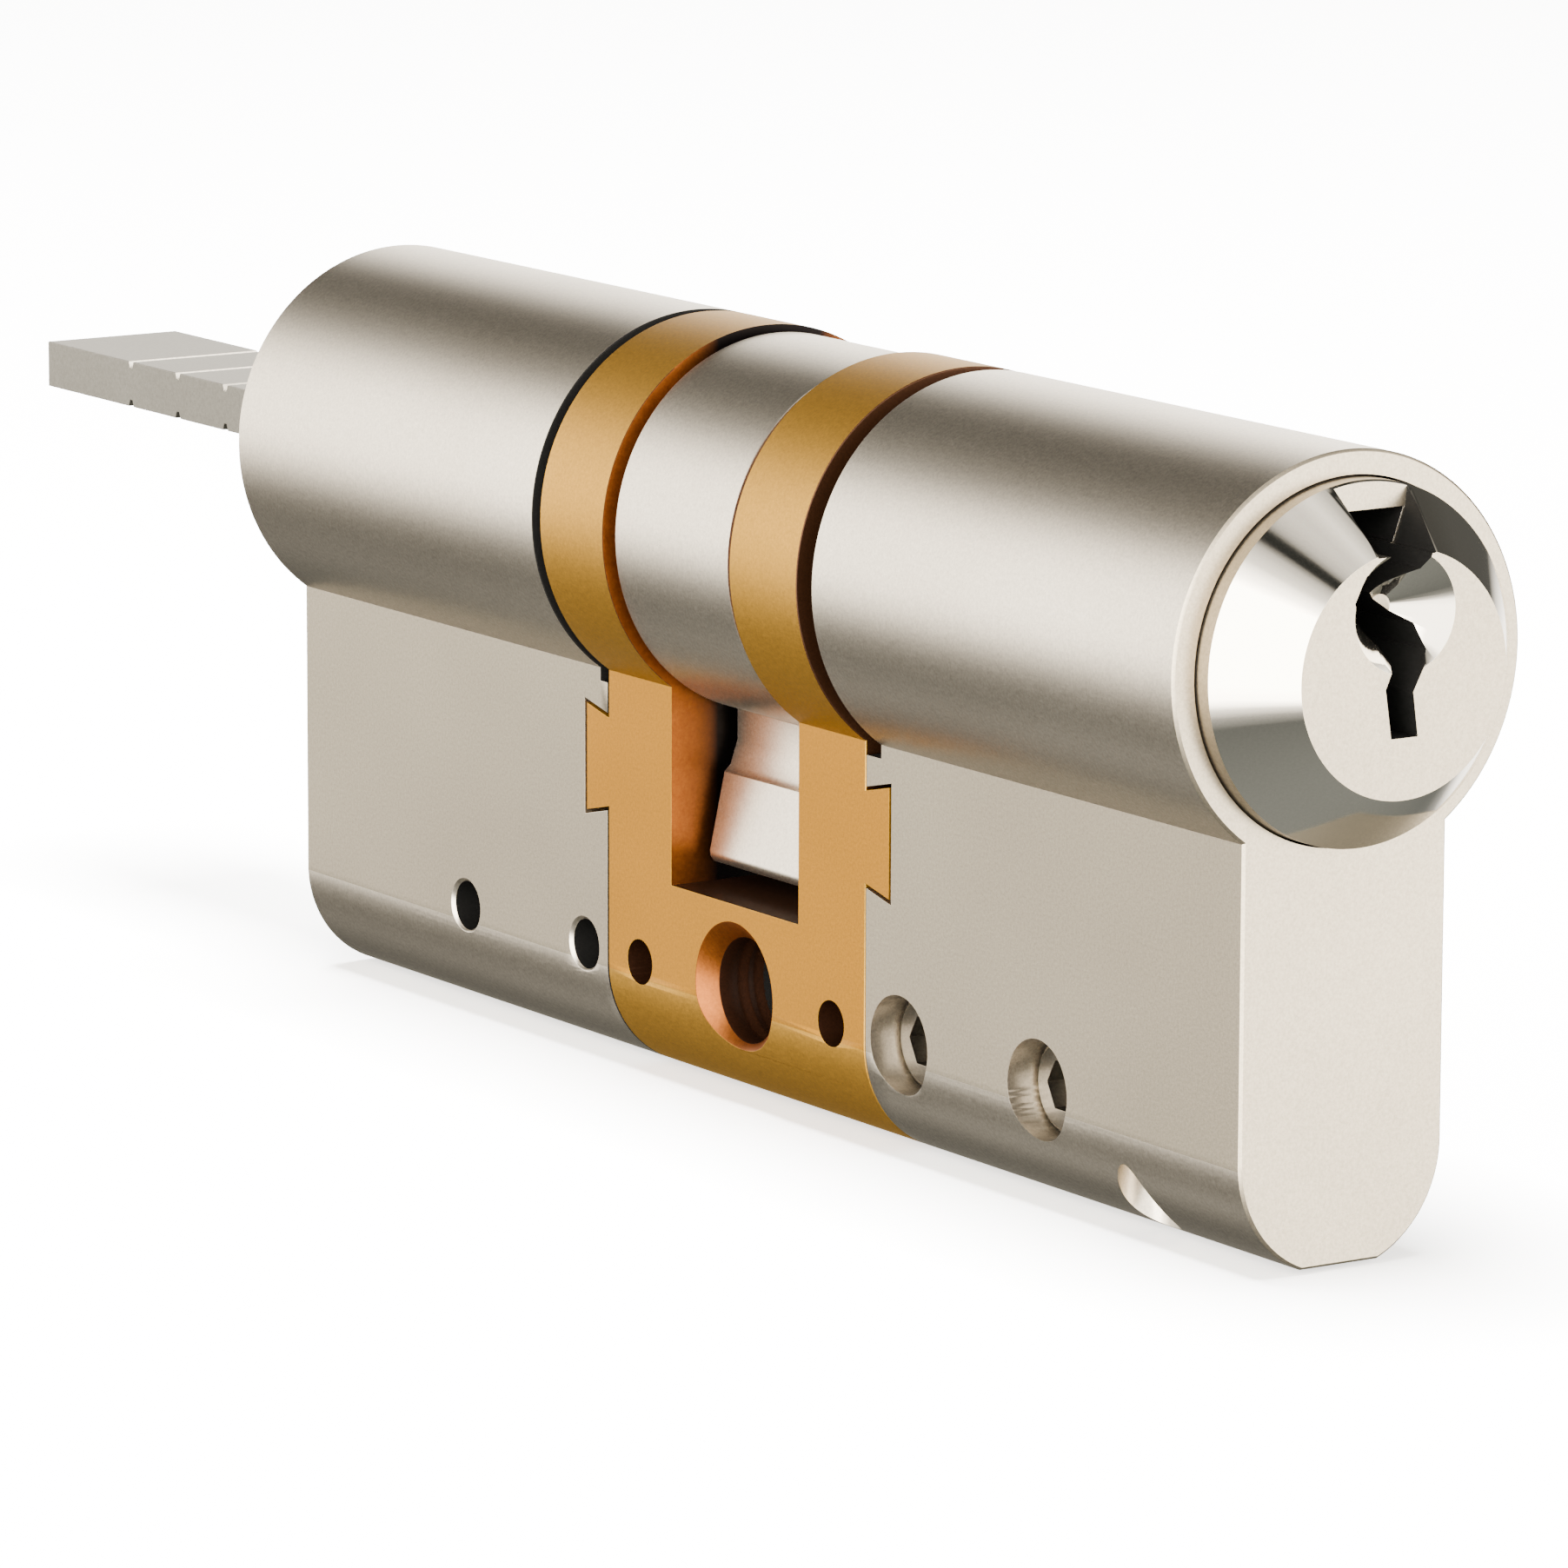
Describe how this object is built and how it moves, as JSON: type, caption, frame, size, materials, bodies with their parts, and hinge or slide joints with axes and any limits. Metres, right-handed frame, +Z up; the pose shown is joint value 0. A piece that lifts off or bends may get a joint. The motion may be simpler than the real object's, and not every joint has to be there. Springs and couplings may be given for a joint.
{
  "type": "euro profile lock cylinder",
  "caption": "Modular Euro-profile lock cylinder: satin nickel halves keyed by dovetails to a brass bridge, with a cam, a coned key nose and a flat snap-off tail blade",
  "frame": {"origin": "centre of the M5 fixing-screw hole, on the mid-plane of the web", "axes": "+X runs along the plug axis to the key side, +Z is up with the barrel above the web, -Y is the side with the grub screws"},
  "size_m": [0.1043, 0.017, 0.033],
  "materials": {
    "front_body": "satin nickel plate",
    "back_body": "satin nickel plate",
    "bridge": "satin",
    "reinforcing_bar": "plain",
    "grub_screw_1": "zinc plated",
    "grub_screw_2": "zinc plated",
    "body_cross_pin_1": "dark",
    "body_cross_pin_2": "dark",
    "bridge_cross_pin_1": "dark",
    "bridge_cross_pin_2": "dark",
    "anti_drill_pin_near": "hardened",
    "anti_drill_pin_far": "hardened",
    "front_plug": "polished nickel plate",
    "plug_clip": "spring steel",
    "cam": "satin nickel plate",
    "rotor": "satin",
    "rotor_clip": "spring steel",
    "tail_blade": "satin",
    "tail_pin": "dark",
    "clutch_slider": "sintered steel",
    "clutch_spring": "spring steel",
    "key_pin_1": "turned",
    "driver_pin_1": "turned",
    "pin_spring_1": "spring steel",
    "chamber_plug_1": "turned",
    "key_pin_2": "turned",
    "driver_pin_2": "turned",
    "pin_spring_2": "spring steel",
    "chamber_plug_2": "turned",
    "key_pin_3": "turned",
    "driver_pin_3": "turned",
    "pin_spring_3": "spring steel",
    "chamber_plug_3": "turned",
    "key_pin_4": "turned",
    "driver_pin_4": "turned",
    "pin_spring_4": "spring steel",
    "chamber_plug_4": "turned",
    "key_pin_5": "turned",
    "driver_pin_5": "turned",
    "pin_spring_5": "spring steel",
    "chamber_plug_5": "turned"
  },
  "bodies": {
    "housing": {"front_body": "front_body", "back_body": "back_body", "bridge": "bridge", "reinforcing_bar": "reinforcing_bar", "grub_screw_1": "grub_screw_1", "grub_screw_2": "grub_screw_2", "body_cross_pin_1": "body_cross_pin_1", "body_cross_pin_2": "body_cross_pin_2", "bridge_cross_pin_1": "bridge_cross_pin_1", "bridge_cross_pin_2": "bridge_cross_pin_2", "anti_drill_pin_near": "anti_drill_pin_near", "anti_drill_pin_far": "anti_drill_pin_far", "pin_spring_1": "pin_spring_1", "pin_spring_2": "pin_spring_2", "pin_spring_3": "pin_spring_3", "pin_spring_4": "pin_spring_4", "pin_spring_5": "pin_spring_5", "chamber_plug_1": "chamber_plug_1", "chamber_plug_2": "chamber_plug_2", "chamber_plug_3": "chamber_plug_3", "chamber_plug_4": "chamber_plug_4", "chamber_plug_5": "chamber_plug_5"},
    "plug": {"front_plug": "front_plug", "plug_clip": "plug_clip"},
    "cam_unit": {"cam": "cam", "rotor": "rotor", "rotor_clip": "rotor_clip", "tail_blade": "tail_blade", "tail_pin": "tail_pin", "clutch_spring": "clutch_spring"},
    "clutch": {"clutch_slider": "clutch_slider"},
    "key_pin_1": {"key_pin_1": "key_pin_1"},
    "driver_1": {"driver_pin_1": "driver_pin_1"},
    "key_pin_2": {"key_pin_2": "key_pin_2"},
    "driver_2": {"driver_pin_2": "driver_pin_2"},
    "key_pin_3": {"key_pin_3": "key_pin_3"},
    "driver_3": {"driver_pin_3": "driver_pin_3"},
    "key_pin_4": {"key_pin_4": "key_pin_4"},
    "driver_4": {"driver_pin_4": "driver_pin_4"},
    "key_pin_5": {"key_pin_5": "key_pin_5"},
    "driver_5": {"driver_pin_5": "driver_pin_5"}
  },
  "joints": [
    {"name": "plug_turn", "type": "hinge", "parent": "housing", "child": "plug", "pos_m": [0.0371, 0, 0.01943], "axis": [1, 0, 0], "continuous": true},
    {"name": "cam_turn", "type": "hinge", "parent": "housing", "child": "cam_unit", "pos_m": [0, 0, 0.01943], "axis": [1, 0, 0], "continuous": true},
    {"name": "clutch_slide", "type": "slide", "parent": "plug", "child": "clutch", "axis": [1, 0, 0], "range_m": [0, 0.0026], "deforming": ["clutch_spring"]},
    {"name": "key_pin_slide_1", "type": "slide", "parent": "plug", "child": "key_pin_1", "axis": [0, 0, 1], "range_m": [0, 0.0015]},
    {"name": "driver_slide_1", "type": "slide", "parent": "housing", "child": "driver_1", "axis": [0, 0, 1], "range_m": [-0.0022, 0], "stiffness_N_per_m": 100, "springref_m": 0.0015, "deforming": ["pin_spring_1"]},
    {"name": "key_pin_slide_2", "type": "slide", "parent": "plug", "child": "key_pin_2", "axis": [0, 0, 1], "range_m": [0, 0.0015]},
    {"name": "driver_slide_2", "type": "slide", "parent": "housing", "child": "driver_2", "axis": [0, 0, 1], "range_m": [-0.0022, 0], "stiffness_N_per_m": 100, "springref_m": 0.0015, "deforming": ["pin_spring_2"]},
    {"name": "key_pin_slide_3", "type": "slide", "parent": "plug", "child": "key_pin_3", "axis": [0, 0, 1], "range_m": [0, 0.0015]},
    {"name": "driver_slide_3", "type": "slide", "parent": "housing", "child": "driver_3", "axis": [0, 0, 1], "range_m": [-0.0022, 0], "stiffness_N_per_m": 100, "springref_m": 0.0015, "deforming": ["pin_spring_3"]},
    {"name": "key_pin_slide_4", "type": "slide", "parent": "plug", "child": "key_pin_4", "axis": [0, 0, 1], "range_m": [0, 0.0015]},
    {"name": "driver_slide_4", "type": "slide", "parent": "housing", "child": "driver_4", "axis": [0, 0, 1], "range_m": [-0.0022, 0], "stiffness_N_per_m": 100, "springref_m": 0.0015, "deforming": ["pin_spring_4"]},
    {"name": "key_pin_slide_5", "type": "slide", "parent": "plug", "child": "key_pin_5", "axis": [0, 0, 1], "range_m": [0, 0.0015]},
    {"name": "driver_slide_5", "type": "slide", "parent": "housing", "child": "driver_5", "axis": [0, 0, 1], "range_m": [-0.0022, 0], "stiffness_N_per_m": 100, "springref_m": 0.0015, "deforming": ["pin_spring_5"]}
  ],
  "couplings": [
    {"joint": "cam_turn", "follows": "plug_turn", "ratio": 1}
  ]
}
